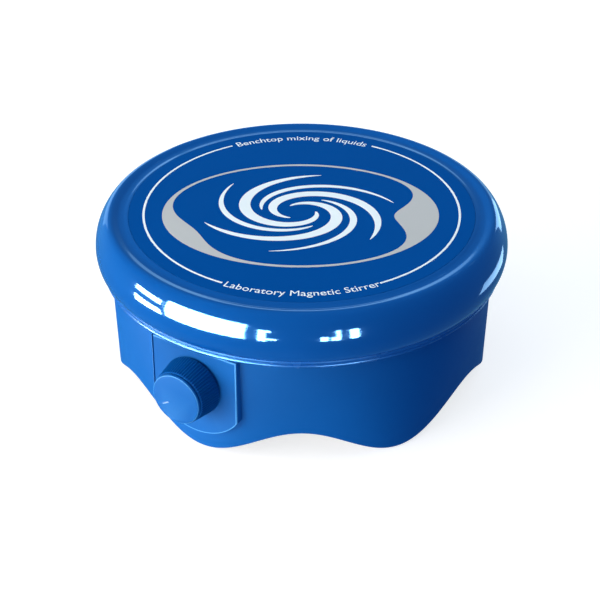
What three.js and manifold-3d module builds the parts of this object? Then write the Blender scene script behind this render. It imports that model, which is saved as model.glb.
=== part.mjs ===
// Magnetic stirrer: round moulded housing with a flat top, a scalloped skirt and a speed knob.
// Millimetres, +Z up. Origin on the vertical axis at bench level. The front of the object is -Y.
import * as THREE from 'three';
import { mergeVertices } from 'three/addons/utils/BufferGeometryUtils.js';
import Module from 'manifold-3d';

const wasm = await Module();
wasm.setup();

// ---- driving dimensions -------------------------------------------------------------------
const RIM_RADIUS = 68.5;
const LABEL_TOP = 56.9;
const LABEL_RADIUS = 57.3;
const LABEL_THICKNESS = 0.7;
const DECK_UNDERSIDE = 53.2;

const SKIRT_TOP = 38;
const SKIRT_TOP_RADIUS = 63.9;
const SKIRT_FOOT_RADIUS = 62.9;
const SKIRT_WALL = 2.5;
const LOBES = 6;
const LOBE_CLEARANCE = 0.5;
const ARCH_HEIGHT = 10.9;
const SKIRT_SEGMENTS = 72;
const COVER_SEGMENTS = 60;

const FLOOR_BOTTOM = 12.9;
const FLOOR_TOP = 15.1;
const FLOOR_RADIUS = 60.2;
const FOOT_CIRCLE = 48;
const SCREW_CIRCLE = 55.5;
const SCREW_ANGLES = [-90, 30, 150];

const KNOB_AZIMUTH = -31.9;
const KNOB_HEIGHT = 24.6;
const KNOB_RADIUS = 8.9;
const KNOB_BASE_RADIUS = 10.2;
const KNOB_BACK = 64.5;
const KNOB_FACE = 74;
const KNOB_RIBS = 48;
const POINTER_ANGLE = 212.5;
const PAD_FACE = 63.9;
const PAD_BACK = 60.2;
const PAD_HALF_WIDTH = 16;
const PAD_ARC_RADIUS = 19;
const PAD_ARC_CENTRE = 1;

const POT_SHAFT_RADIUS = 2.9;
const POT_BORE = 3.0;

const JACK_HEIGHT = 27;
const JACK_LAND_HALF_WIDTH = 10;

const MOTOR_RADIUS = 15;
const MOTOR_TOP = 41.4;
const MOTOR_BOTTOM = 20.4;
const SHAFT_RADIUS = 1.5;
const BUSH_BORE = 1.58;
const BRACKET_BOTTOM = 41.7;
const BRACKET_TOP = 43.2;
const POST_CIRCLE = 38;
const CARRIER_BOTTOM = 45.4;
const CARRIER_TOP = 47.2;
const MAGNET_OFFSET = 20;

const BOARD_BOTTOM = 20;
const BOARD_TOP = 21.6;

const RAD = Math.PI / 180;

// ---- materials ------------------------------------------------------------------------------
const BLUE = [0x0a57a6, 0.28, 0.0];
const BLACK_RUBBER = [0x1b1b1c, 0.85, 0.0];
const ZINC = [0xb9bcc0, 0.35, 1.0];
const STEEL = [0x9da2a8, 0.3, 1.0];
const BRONZE = [0xa5763f, 0.45, 1.0];
const COPPER = [0xb5652c, 0.35, 1.0];
const FERRITE = [0x3a3a3d, 0.7, 0.1];
const NICKEL = [0xc9c6bd, 0.22, 1.0];
const BLACK_PLASTIC = [0x202124, 0.5, 0.0];

const stirrer = new THREE.Group();
stirrer.name = 'magnetic_stirrer';

function place(parent, name, geometry, look) {
  const material = new THREE.MeshStandardMaterial({ color: look[0], roughness: look[1], metalness: look[2] });
  const mesh = new THREE.Mesh(geometry, material);
  mesh.name = name;
  parent.add(mesh);
  return mesh;
}

// ---- solid helpers --------------------------------------------------------------------------
function signedVolume(position, index) {
  const a = new THREE.Vector3();
  const b = new THREE.Vector3();
  const c = new THREE.Vector3();
  let sum = 0;
  for (let i = 0; i < index.length; i += 3) {
    a.fromBufferAttribute(position, index[i]);
    b.fromBufferAttribute(position, index[i + 1]);
    c.fromBufferAttribute(position, index[i + 2]);
    sum += a.dot(b.cross(c));
  }
  return sum / 6;
}

// Welds a geometry, drops the collapsed triangles on an axis and makes it face outwards.
function welded(source) {
  const bare = source.clone();
  bare.deleteAttribute('normal');
  bare.deleteAttribute('uv');
  const merged = mergeVertices(bare, 1e-4);
  const kept = [];
  const raw = merged.index.array;
  for (let i = 0; i < raw.length; i += 3) {
    const [a, b, c] = [raw[i], raw[i + 1], raw[i + 2]];
    if (a !== b && b !== c && c !== a) kept.push(a, b, c);
  }
  if (signedVolume(merged.attributes.position, kept) < 0) kept.reverse();
  merged.setIndex(kept);
  return merged;
}

function solid(source) {
  const mesh = welded(source);
  return new wasm.Manifold(new wasm.Mesh({
    numProp: 3,
    vertProperties: Float32Array.from(mesh.attributes.position.array),
    triVerts: Uint32Array.from(mesh.index.array),
  }));
}

function geometryOf(manifold) {
  const mesh = manifold.getMesh();
  const geometry = new THREE.BufferGeometry();
  geometry.setAttribute('position', new THREE.BufferAttribute(Float32Array.from(mesh.vertProperties), 3));
  geometry.setIndex(Array.from(mesh.triVerts));
  geometry.computeVertexNormals();
  return geometry;
}

// Revolves [radius, height] pairs about +Z.
function turned(profile, segments = 32) {
  const points = profile.map(([r, z]) => new THREE.Vector2(r, z));
  const closed = profile[0][0] > 0;
  if (closed) points.push(points[0].clone());
  return new THREE.LatheGeometry(points, segments).rotateX(Math.PI / 2);
}

function disc(radius, z0, z1, segments = 24) {
  return turned([[0, z0], [radius, z0], [radius, z1], [0, z1]], segments);
}

function slab(shape, z0, z1, curveSegments = 12) {
  const options = { depth: z1 - z0, bevelEnabled: false, curveSegments };
  return new THREE.ExtrudeGeometry(shape, options).translate(0, 0, z0);
}

function block(x, y, z, width, depth, height) {
  return new THREE.BoxGeometry(width, depth, height).translate(x, y, z);
}

function roundedPlate(halfX, halfY, corner) {
  const shape = new THREE.Shape();
  shape.moveTo(halfX - corner, -halfY);
  shape.absarc(halfX - corner, -halfY + corner, corner, -Math.PI / 2, 0);
  shape.absarc(halfX - corner, halfY - corner, corner, 0, Math.PI / 2);
  shape.absarc(-halfX + corner, halfY - corner, corner, Math.PI / 2, Math.PI);
  shape.absarc(-halfX + corner, -halfY + corner, corner, Math.PI, 1.5 * Math.PI);
  return shape;
}

function polar(radius, degrees) {
  return [radius * Math.cos(degrees * RAD), radius * Math.sin(degrees * RAD)];
}

// Moves a geometry built on the axis out to a radius and angle about +Z.
function out(geometry, radius, degrees) {
  const [x, y] = polar(radius, degrees);
  return geometry.translate(x, y, 0);
}

// Turns a geometry built along +Z so that it looks out of the side wall at an azimuth from the front.
function facing(geometry, azimuth, height) {
  return geometry.rotateX(Math.PI / 2).rotateZ(azimuth * RAD).translate(0, 0, height);
}

function joined(...geometries) {
  return geometries.map(solid).reduce((a, b) => a.add(b));
}

function less(manifold, ...geometries) {
  return geometries.map(solid).reduce((a, b) => a.subtract(b), manifold);
}

// ---- top cover ------------------------------------------------------------------------------
// From the edge of the label pocket over a shallow channel and the rim to the beaded bottom edge:
// radius and height above the label face.
const RIM_SECTION = [
  [57.5, -LABEL_THICKNESS], [57.5, -0.05], [58.8, -0.3], [60.6, -0.35], [62.6, 0.24], [63.4, 0.26],
  [65.1, -0.8], [66.4, -2.5], [67.5, -4.8], [68.2, -7.2], [RIM_RADIUS, -9.9], [68.3, -12.0],
  [67.7, -14.0], [66.7, -15.8], [65.9, -16.9], [65.45, -17.6], [65.75, -18.1], [65.6, -18.6],
  [64.9, -18.75],
];
// Inside of the rim, from the bottom edge back up to the deck.
const COVER_INSIDE = [[61.7, 38.3], [61.7, 43.4], [65.5, 45.2], [65.2, 50.2], [62.0, DECK_UNDERSIDE]];

const coverProfile = [[0, LABEL_TOP - LABEL_THICKNESS]];
for (const [r, dz] of RIM_SECTION) coverProfile.push([r, LABEL_TOP + dz]);
for (const point of COVER_INSIDE) coverProfile.push(point);
coverProfile.push([0, DECK_UNDERSIDE]);

let cover = solid(turned(coverProfile, COVER_SEGMENTS));
for (const angle of SCREW_ANGLES) {
  const boss = out(disc(3.7, 17.9, DECK_UNDERSIDE + 1, 14), SCREW_CIRCLE, angle);
  const pilot = out(disc(1.7, 10, 34, 8), SCREW_CIRCLE, angle);
  const post = out(disc(3.5, BRACKET_TOP + 0.3, DECK_UNDERSIDE + 1, 14), POST_CIRCLE, angle);
  const postPilot = out(disc(1.5, 40, 51, 8), POST_CIRCLE, angle);
  cover = less(cover.add(solid(boss)).add(solid(post)), pilot, postPilot);
}
place(stirrer, 'top_cover', geometryOf(cover), BLUE);

// Printed disc on the deck.
const label = turned([
  [0, LABEL_TOP - LABEL_THICKNESS], [LABEL_RADIUS, LABEL_TOP - LABEL_THICKNESS],
  [LABEL_RADIUS, LABEL_TOP], [0, LABEL_TOP],
], COVER_SEGMENTS);
place(stirrer, 'top_label', welded(label), [0x004b97, 0.4, 0.0]);

// ---- lower housing ----------------------------------------------------------------------------
// The free edge stands on six lobes with an arch between neighbours.
function edgeHeight(x, y) {
  const angle = Math.atan2(y, x);
  return 0.5 * ARCH_HEIGHT * (1 - Math.cos(LOBES * angle));
}

const skirtProfile = [
  [SKIRT_FOOT_RADIUS - SKIRT_WALL, LOBE_CLEARANCE + 0.4], [SKIRT_FOOT_RADIUS - SKIRT_WALL + 0.4, LOBE_CLEARANCE],
  [SKIRT_FOOT_RADIUS - 0.4, LOBE_CLEARANCE], [SKIRT_FOOT_RADIUS, LOBE_CLEARANCE + 0.4],
  [SKIRT_TOP_RADIUS, SKIRT_TOP], [61.3, SKIRT_TOP], [61.3, 43.1], [59.6, 43.1], [59.6, 37],
  [SKIRT_TOP_RADIUS - SKIRT_WALL, 35.2], [60.9, 17.6], [52.6, 17.6], [52.6, 15.4], [60.8, 15.4],
];
const skirtBody = turned(skirtProfile, SKIRT_SEGMENTS);
const skirtPosition = skirtBody.attributes.position;
for (let i = 0; i < skirtPosition.count; i += 1) {
  if (skirtPosition.getZ(i) < LOBE_CLEARANCE + 1) {
    const lift = edgeHeight(skirtPosition.getX(i), skirtPosition.getY(i));
    skirtPosition.setZ(i, skirtPosition.getZ(i) + lift);
  }
}

// Flat land for the knob: a plate with a shallow arc at the bottom that reaches up to the parting line.
const LAND_TOP = SKIRT_TOP - 0.15;
const land = new THREE.Shape();
land.moveTo(PAD_HALF_WIDTH, LAND_TOP - KNOB_HEIGHT);
land.lineTo(-PAD_HALF_WIDTH, LAND_TOP - KNOB_HEIGHT);
const landCorner = Math.acos(PAD_HALF_WIDTH / PAD_ARC_RADIUS);
land.absarc(0, PAD_ARC_CENTRE, PAD_ARC_RADIUS, Math.PI + landCorner, 2 * Math.PI - landCorner);
const knobLand = facing(slab(land, PAD_BACK, PAD_FACE, 12), KNOB_AZIMUTH, KNOB_HEIGHT);
const jackLand = facing(
  slab(roundedPlate(JACK_LAND_HALF_WIDTH, JACK_LAND_HALF_WIDTH, 3), PAD_BACK, 63.8, 3), 180, JACK_HEIGHT,
);

let skirt = solid(skirtBody).add(solid(knobLand)).add(solid(jackLand));
skirt = less(
  skirt,
  facing(disc(3.8, 55, 70, 20), KNOB_AZIMUTH, KNOB_HEIGHT),
  facing(disc(8.9, 50, 59.8, 16), KNOB_AZIMUTH, KNOB_HEIGHT),
  facing(disc(5.8, 55, 70, 20), 180, JACK_HEIGHT),
);
for (const angle of SCREW_ANGLES) {
  skirt = less(skirt, out(disc(1.8, 10, 20, 8), SCREW_CIRCLE, angle));
}
place(stirrer, 'lower_housing', geometryOf(skirt), BLUE);

// ---- base plate, feet and housing screws --------------------------------------------------------
const BOARD_PIN_X = 25;
const BOARD_PIN_Y = [22.5, 34.5];
let floor = solid(turned([
  [0, FLOOR_BOTTOM], [FLOOR_RADIUS, FLOOR_BOTTOM], [FLOOR_RADIUS, FLOOR_TOP], [0, FLOOR_TOP],
], 48));
for (let k = 0; k < LOBES; k += 1) {
  floor = less(floor, out(disc(2.8, 10, 20, 10), FOOT_CIRCLE, 60 * k));
}
for (const angle of SCREW_ANGLES) {
  floor = less(floor, out(disc(1.8, 10, 20, 8), SCREW_CIRCLE, angle));
}
for (const x of [-BOARD_PIN_X, BOARD_PIN_X]) {
  for (const y of BOARD_PIN_Y) {
    const pin = turned([
      [0, FLOOR_TOP - 1], [2.4, FLOOR_TOP - 1], [2.4, BOARD_BOTTOM - 0.3], [1.1, BOARD_BOTTOM - 0.3],
      [1.1, BOARD_TOP + 1], [0, BOARD_TOP + 1],
    ], 8);
    floor = floor.add(solid(pin.translate(x, y, 0)));
  }
}
const VENT_ROWS = [-12, -6, 0, 6, 12];
for (const y of VENT_ROWS) {
  floor = less(floor, slab(roundedPlate(9, 1.2, 1.1), 10, 20, 1).translate(0, y, 0));
}
place(stirrer, 'base_plate', geometryOf(floor), BLACK_PLASTIC);

for (let k = 0; k < LOBES; k += 1) {
  const foot = turned([
    [0, 0], [5.0, 0], [5.5, 0.5], [6.5, FLOOR_BOTTOM - 0.3], [2.4, FLOOR_BOTTOM - 0.3], [2.4, FLOOR_TOP + 0.3],
    [3.3, FLOOR_TOP + 0.3], [2.0, FLOOR_TOP + 2.4], [0, FLOOR_TOP + 2.4],
  ], 14);
  place(stirrer, `rubber_foot_${k + 1}`, welded(out(foot, FOOT_CIRCLE, 60 * k)), BLACK_RUBBER);
}

// A pan head with a cross recess; the shank runs up from the head.
function screw(headRadius, headHeight, shankRadius, length) {
  const body = turned([
    [0, -headHeight], [headRadius * 0.7, -headHeight], [headRadius, -headHeight * 0.55], [headRadius, 0],
    [shankRadius, 0], [shankRadius, length - 1], [shankRadius * 0.4, length], [0, length],
  ], 10);
  const width = headRadius * 0.3;
  const reach = headRadius * 1.2;
  const bladeX = block(0, 0, -headHeight, reach, width, headHeight * 0.7);
  const bladeY = block(0, 0, -headHeight, width, reach, headHeight * 0.7);
  return less(solid(body), bladeX, bladeY);
}

SCREW_ANGLES.forEach((angle, k) => {
  const shape = out(geometryOf(screw(2.9, 2.0, 1.3, 20)), SCREW_CIRCLE, angle);
  place(stirrer, `housing_screw_${k + 1}`, shape.translate(0, 0, FLOOR_BOTTOM - 0.3), ZINC);
});

// ---- motor bracket and its screws ------------------------------------------------------------
let bracket = solid(disc(19, BRACKET_BOTTOM, BRACKET_TOP, 28));
for (const angle of SCREW_ANGLES) {
  const arm = block(POST_CIRCLE / 2, 0, (BRACKET_BOTTOM + BRACKET_TOP) / 2, POST_CIRCLE, 9, BRACKET_TOP - BRACKET_BOTTOM);
  const end = out(disc(4.5, BRACKET_BOTTOM, BRACKET_TOP, 14), POST_CIRCLE, angle);
  bracket = bracket.add(solid(arm.rotateZ(angle * RAD))).add(solid(end));
}
bracket = less(bracket, disc(6.4, 40, 45, 16));
for (const angle of SCREW_ANGLES) bracket = less(bracket, out(disc(1.6, 40, 45, 8), POST_CIRCLE, angle));
for (const side of [-1, 1]) bracket = less(bracket, disc(1.5, 40, 45, 8).translate(0, side * 9.5, 0));
place(stirrer, 'motor_bracket', geometryOf(bracket), ZINC);

SCREW_ANGLES.forEach((angle, k) => {
  const shape = out(geometryOf(screw(2.6, 1.6, 1.2, 8.5)), POST_CIRCLE, angle);
  place(stirrer, `bracket_screw_${k + 1}`, shape.translate(0, 0, BRACKET_BOTTOM - 0.3), ZINC);
});
[-1, 1].forEach((side, k) => {
  const shape = geometryOf(screw(2.3, 1.2, 1.1, 3.6)).rotateX(Math.PI);
  place(stirrer, `motor_screw_${k + 1}`, shape.translate(0, side * 9.5, BRACKET_TOP + 0.3), ZINC);
});

// ---- motor ------------------------------------------------------------------------------------
let can = solid(turned([
  [6.1, MOTOR_TOP + 1.5], [4.5, MOTOR_TOP + 1.5], [4.5, MOTOR_TOP - 1], [MOTOR_RADIUS - 1, MOTOR_TOP - 1],
  [MOTOR_RADIUS - 1, MOTOR_BOTTOM], [MOTOR_RADIUS, MOTOR_BOTTOM], [MOTOR_RADIUS, MOTOR_TOP - 0.8],
  [MOTOR_RADIUS - 0.8, MOTOR_TOP], [6.1, MOTOR_TOP],
], 28));
for (const side of [-1, 1]) can = less(can, disc(1.4, 39, 42, 8).translate(0, side * 9.5, 0));
place(stirrer, 'motor_can', geometryOf(can), STEEL);

const endCap = less(
  joined(
    turned([
      [0, MOTOR_BOTTOM - 1.9], [MOTOR_RADIUS, MOTOR_BOTTOM - 1.9], [MOTOR_RADIUS, MOTOR_BOTTOM - 0.3],
      [MOTOR_RADIUS - 1.4, MOTOR_BOTTOM - 0.3], [MOTOR_RADIUS - 1.4, MOTOR_BOTTOM + 1.4],
      [MOTOR_RADIUS - 2.6, MOTOR_BOTTOM + 1.4], [MOTOR_RADIUS - 2.6, MOTOR_BOTTOM - 0.3], [0, MOTOR_BOTTOM - 0.3],
    ], 28),
    disc(5.6, MOTOR_BOTTOM - 2.8, MOTOR_BOTTOM - 1, 16),
  ),
  disc(3.4, MOTOR_BOTTOM - 4, MOTOR_BOTTOM + 2, 16),
  block(-10, 0, MOTOR_BOTTOM - 1, 1.4, 4.6, 5),
  block(10, 0, MOTOR_BOTTOM - 1, 1.4, 4.6, 5),
);
place(stirrer, 'motor_end_cap', geometryOf(endCap), BLACK_PLASTIC);

function bush(z0, z1, outer) {
  return welded(turned([[BUSH_BORE, z0], [outer, z0], [outer, z1], [BUSH_BORE, z1]], 16));
}
place(stirrer, 'upper_bush', bush(MOTOR_TOP - 2.2, MOTOR_TOP + 1.5, 4.2), BRONZE);
place(stirrer, 'lower_bush', bush(MOTOR_BOTTOM - 2.8, MOTOR_BOTTOM - 0.1, 3.1), BRONZE);

[0, 180].forEach((turn, k) => {
  const arc = new THREE.Shape();
  arc.absarc(0, 0, 13.7, -64 * RAD, 64 * RAD);
  arc.absarc(0, 0, 11.4, 64 * RAD, -64 * RAD, true);
  const shape = slab(arc, 23, 38.6, 8).rotateZ(turn * RAD + Math.PI / 2);
  place(stirrer, `field_magnet_${k + 1}`, welded(shape), FERRITE);
});

[-1, 1].forEach((side, k) => {
  const carbon = block(side * 5.6, 0, 22.4, 3.2, 2.6, 2.8);
  place(stirrer, `brush_${k + 1}`, welded(carbon), [0x26262a, 0.6, 0.3]);
  const tab = joined(
    block(side * 10, 0, 20.0, 0.6, 3.6, 7.4),
    block(side * 8.9, 0, 23.4, 2.8, 2.2, 0.6),
  );
  place(stirrer, `motor_terminal_${k + 1}`, geometryOf(tab), COPPER);
});

// ---- rotor: everything that spins about the vertical axis ------------------------------------
const rotor = new THREE.Group();
rotor.name = 'rotor';
stirrer.add(rotor);

const shaftShape = turned([
  [0, 16.2], [1.2, 16.2], [SHAFT_RADIUS, 16.6], [SHAFT_RADIUS, 50.2], [1.2, 50.6], [0, 50.6],
], 16);
place(rotor, 'motor_shaft', welded(shaftShape), STEEL);

const core = new THREE.Shape();
const POLES = 3;
const POLE_STEP = 360 / POLES;
for (let k = 0; k < POLES; k += 1) {
  const middle = k * POLE_STEP * RAD;
  const tip = 47 * RAD;
  const neck = Math.asin(1.9 / 9.2);
  const root = Math.asin(1.9 / 3.6);
  core.absarc(0, 0, 3.6, middle - POLE_STEP * RAD + root, middle - root);
  core.absarc(0, 0, 9.2, middle - neck, middle - tip, true);
  core.absarc(0, 0, 10.8, middle - tip, middle + tip);
  core.absarc(0, 0, 9.2, middle + tip, middle + neck, true);
}
const coreSolid = less(solid(slab(core, 26, 36, 3)), disc(1.8, 20, 40, 12));
place(rotor, 'armature_core', geometryOf(coreSolid), [0x6d7075, 0.45, 0.9]);

for (let k = 0; k < POLES; k += 1) {
  const outer = block(6.6, 0, 31, 3.6, 7.2, 13.6);
  const hollow = block(6.6, 0, 31, 6, 4.4, 10.6);
  const coil = geometryOf(less(solid(outer), hollow)).rotateZ(k * POLE_STEP * RAD);
  place(rotor, `armature_coil_${k + 1}`, coil, [0x9c4a1e, 0.4, 0.6]);
}

const commutatorShape = turned([[1.8, 20.9], [3.6, 20.9], [3.6, 24.4], [2.9, 24.4], [2.9, 25.6], [1.8, 25.6]], 16);
place(rotor, 'commutator', welded(commutatorShape), COPPER);

const carrierPlate = slab(roundedPlate(29, 10, 6), CARRIER_BOTTOM, CARRIER_TOP, 4);
const carrier = less(
  joined(carrierPlate, disc(5.2, CARRIER_BOTTOM, 50.4, 18)),
  disc(1.8, 40, 55, 16),
  disc(1.3, 0, 9, 10).rotateX(-Math.PI / 2).translate(0, 0, 48.9),
);
place(rotor, 'magnet_carrier', geometryOf(carrier), STEEL);

const grub = disc(1.0, 1.9, 5.0, 10).rotateX(-Math.PI / 2).translate(0, 0, 48.9);
place(rotor, 'carrier_set_screw', welded(grub), [0x2b2b2e, 0.5, 0.9]);

[-1, 1].forEach((side, k) => {
  const magnet = turned([
    [0, CARRIER_TOP + 0.3], [8.0, CARRIER_TOP + 0.3], [8.0, 51.0], [7.6, 51.4], [0, 51.4],
  ], 22);
  place(rotor, `stirring_magnet_${k + 1}`, welded(magnet.translate(side * MAGNET_OFFSET, 0, 0)), NICKEL);
});

// ---- speed control: built along +Z of a group that looks out of the front left ----------------
const controlTurn = new THREE.Group();
controlTurn.name = 'speed_control';
controlTurn.rotation.z = KNOB_AZIMUTH * RAD;
controlTurn.position.z = KNOB_HEIGHT;
stirrer.add(controlTurn);
const control = new THREE.Group();
control.name = 'speed_control_axis';
control.rotation.x = Math.PI / 2;
controlTurn.add(control);

const potentiometer = less(
  joined(
    turned([
      [0, 50.6], [7.6, 50.6], [8.0, 51], [8.0, 59.8], [3.4, 59.8], [3.4, 67.2], [0, 67.2],
    ], 22),
    block(-5, 8.4, 52, 1.4, 6.4, 0.8),
    block(0, 9.4, 52, 1.4, 4.4, 0.8),
    block(5, 8.4, 52, 1.4, 6.4, 0.8),
  ),
  disc(POT_BORE, 57, 70, 28),
  disc(6.4, 53, 57.2, 16),
);
place(control, 'potentiometer_body', geometryOf(potentiometer), [0x7f8489, 0.4, 0.8]);

const wiperShaft = less(
  joined(disc(6.0, 53.4, 54.8, 16), disc(POT_SHAFT_RADIUS, 54, 71.6, 28)),
  block(0, 3.3, 69, 8, 3, 6),
);
const washerShape = turned([[3.8, 64.2], [5.4, 64.2], [5.4, 64.7], [3.8, 64.7]], 16);
place(control, 'potentiometer_washer', welded(washerShape), ZINC);

function hexagon(acrossFlats, bore) {
  const shape = new THREE.Shape();
  for (let k = 0; k < 6; k += 1) {
    const [x, y] = polar(acrossFlats / 2 / Math.cos(30 * RAD), 60 * k);
    if (k === 0) shape.moveTo(x, y);
    else shape.lineTo(x, y);
  }
  shape.closePath();
  const hole = new THREE.Path();
  hole.absarc(0, 0, bore, 0, 2 * Math.PI, true);
  shape.holes.push(hole);
  return shape;
}
place(control, 'potentiometer_nut', welded(slab(hexagon(10, 3.7), 65.0, 66.9, 7)), NICKEL);

const knobRest = new THREE.Group();
knobRest.name = 'knob_group';
control.add(knobRest);
place(knobRest, 'potentiometer_shaft', geometryOf(wiperShaft), [0xb9bcc0, 0.35, 1.0]);

// Ribbed barrel, a little wider at the back, with a smooth face; hollow behind with a central hub.
const ribbed = new THREE.Shape();
for (let k = 0; k < KNOB_RIBS; k += 1) {
  const step = 360 / KNOB_RIBS;
  const [crestX, crestY] = polar(KNOB_RADIUS, k * step);
  const [rootX, rootY] = polar(KNOB_RADIUS - 0.4, (k + 0.5) * step);
  if (k === 0) ribbed.moveTo(crestX, crestY);
  else ribbed.lineTo(crestX, crestY);
  ribbed.lineTo(rootX, rootY);
}
ribbed.closePath();
const barrel = slab(ribbed, KNOB_BACK, KNOB_FACE - 0.9, 1);
const barrelPosition = barrel.attributes.position;
for (let i = 0; i < barrelPosition.count; i += 1) {
  if (barrelPosition.getZ(i) < KNOB_BACK + 0.1) {
    barrelPosition.setX(i, barrelPosition.getX(i) * (KNOB_BASE_RADIUS / KNOB_RADIUS));
    barrelPosition.setY(i, barrelPosition.getY(i) * (KNOB_BASE_RADIUS / KNOB_RADIUS));
  }
}
const knobFace = turned([
  [0, KNOB_FACE - 2], [KNOB_RADIUS - 0.3, KNOB_FACE - 2], [KNOB_RADIUS - 0.3, KNOB_FACE - 0.5],
  [KNOB_RADIUS - 0.8, KNOB_FACE], [0, KNOB_FACE],
], 36);
const knob = less(
  joined(barrel, knobFace),
  turned([[0, KNOB_BACK - 1], [7.0, KNOB_BACK - 1], [7.0, 67.6], [0, 67.6]], 20),
  turned([[4.6, 67], [7.0, 67], [7.0, 71.8], [4.6, 71.8]], 20),
  turned([[0, 67], [3.2, 67], [3.2, 72.0], [0, 72.0]], 16),
  block(4.5, 0, KNOB_FACE, 3.0, 0.8, 0.6).rotateZ(POINTER_ANGLE * RAD),
);
place(knobRest, 'speed_knob', geometryOf(knob), BLUE);

const pointer = block(4.5, 0, KNOB_FACE - 0.05, 2.5, 0.4, 0.26).rotateZ(POINTER_ANGLE * RAD);
place(knobRest, 'knob_pointer', welded(pointer), [0xe6e9ec, 0.5, 0.0]);

// ---- power inlet ---------------------------------------------------------------------------------
const inlet = less(
  joined(
    facing(disc(5.5, 50, 65, 20), 180, JACK_HEIGHT),
    facing(turned([[0, 64.1], [7.0, 64.1], [7.0, 65.2], [6.6, 65.6], [0, 65.6]], 20), 180, JACK_HEIGHT),
    facing(block(0, 2.6, 48.6, 2.4, 0.8, 4), 180, JACK_HEIGHT),
    facing(block(0, -2.6, 48.6, 2.4, 0.8, 4), 180, JACK_HEIGHT),
  ),
  facing(disc(3.15, 54, 70, 16), 180, JACK_HEIGHT),
).add(solid(facing(disc(1.0, 53, 64.4, 8), 180, JACK_HEIGHT)));
place(stirrer, 'power_jack', geometryOf(inlet), BLACK_PLASTIC);
place(stirrer, 'power_jack_nut', welded(facing(slab(hexagon(14, 5.8), 57.4, 59.8, 8), 180, JACK_HEIGHT)), NICKEL);

// ---- control board -------------------------------------------------------------------------------
let board = solid(block(0, 33, (BOARD_BOTTOM + BOARD_TOP) / 2, 56, 26, BOARD_TOP - BOARD_BOTTOM));
for (const x of [-BOARD_PIN_X, BOARD_PIN_X]) {
  for (const y of BOARD_PIN_Y) board = less(board, disc(1.4, 18, 24, 8).translate(x, y, 0));
}
place(stirrer, 'control_board', geometryOf(board), [0x1f6b3a, 0.45, 0.0]);

const sink = less(solid(block(15, 36, 29.4, 15, 9, 15)), block(15, 34.4, 30, 12.4, 9, 18));
place(stirrer, 'heat_sink', geometryOf(sink), [0x8b8f94, 0.4, 1.0]);
const transistor = joined(block(15, 36.6, 28.3, 10, 4.0, 9), block(15, 37.9, 32, 10, 1.2, 9));
place(stirrer, 'power_transistor', geometryOf(transistor), [0x17181a, 0.5, 0.0]);

const capacitorShape = turned([
  [0, BOARD_TOP + 0.3], [4.6, BOARD_TOP + 0.3], [5, BOARD_TOP + 0.7], [5, BOARD_TOP + 1.8], [4.7, BOARD_TOP + 2.2],
  [5, BOARD_TOP + 2.6], [5, 37.6], [4.6, 38], [0, 38],
], 14);
place(stirrer, 'filter_capacitor', welded(capacitorShape.translate(-14, 38, 0)), [0x24262e, 0.35, 0.2]);

function header(width) {
  return less(solid(block(0, 0, 25.4, width, 5.6, 7)), block(0, 0, 27.6, width - 1.6, 4.0, 5));
}
place(stirrer, 'motor_connector', geometryOf(header(7.4)).translate(2, 24.2, 0), [0xe8e4d8, 0.5, 0.0]);
place(stirrer, 'control_connector', geometryOf(header(9.9)).translate(-15, 24.2, 0), [0xe8e4d8, 0.5, 0.0]);

// ---- leads ---------------------------------------------------------------------------------------
function lead(radius, points, steps, squash = 1) {
  const path = new THREE.CatmullRomCurve3(points.map((p) => new THREE.Vector3(...p)), false, 'centripetal');
  const round = new THREE.Shape();
  round.absellipse(0, 0, radius, radius * squash, 0, 2 * Math.PI, false, 0);
  return welded(new THREE.ExtrudeGeometry(round, { steps, extrudePath: path, bevelEnabled: false, curveSegments: 3 }));
}
const RED = [0xb3161b, 0.45, 0.0];
const BLACK = [0x161618, 0.45, 0.0];
const motorRed = [
  [11.6, 0, 17.2], [12.6, 8, 17.2], [9, 15.8, 18.2], [4.6, 17.6, 24], [3.4, 20.8, 30], [3.2, 23.6, 31],
  [3.2, 24.2, 29.2], [3.2, 24.2, 26.2],
];
place(stirrer, 'motor_lead_red', lead(0.75, motorRed, 15), RED);
const motorBlack = [
  [-11.6, 0, 17.2], [-12.6, 8, 17.2], [-8, 15.8, 18.2], [-1, 17.8, 24], [0.6, 20.8, 30], [0.8, 23.6, 31],
  [0.8, 24.2, 29.2], [0.8, 24.2, 26.2],
];
place(stirrer, 'motor_lead_black', lead(0.75, motorBlack, 15), BLACK);
const jackRed = [[0, 45.4, 29.8], [2.6, 43.6, 30], [5, 42.8, 27], [5.2, 42.6, 22.3]];
place(stirrer, 'power_lead_red', lead(0.75, jackRed, 7), RED);
const jackBlack = [[0, 45.4, 24.6], [-1.4, 43.8, 25.4], [-2.8, 42.8, 24.6], [-3, 42.6, 22.3]];
place(stirrer, 'power_lead_black', lead(0.75, jackBlack, 6), BLACK);
const ribbon = [
  [-27, -44.2, 38.8], [-33, -32, 37.6], [-37, -12, 35], [-33, 10, 34], [-21, 20, 34], [-15.6, 23.8, 32],
  [-15, 24.2, 29.4], [-15, 24.2, 26.4],
];
place(stirrer, 'control_lead', lead(0.8, ribbon, 16, 2), [0x8d9095, 0.5, 0.0]);

export default stirrer;
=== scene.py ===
"""Magnetic stirrer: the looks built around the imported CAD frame. Metres, +Z up, the front is -Y."""
import math

import bmesh
import bpy
from mathutils import Matrix, Vector


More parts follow.
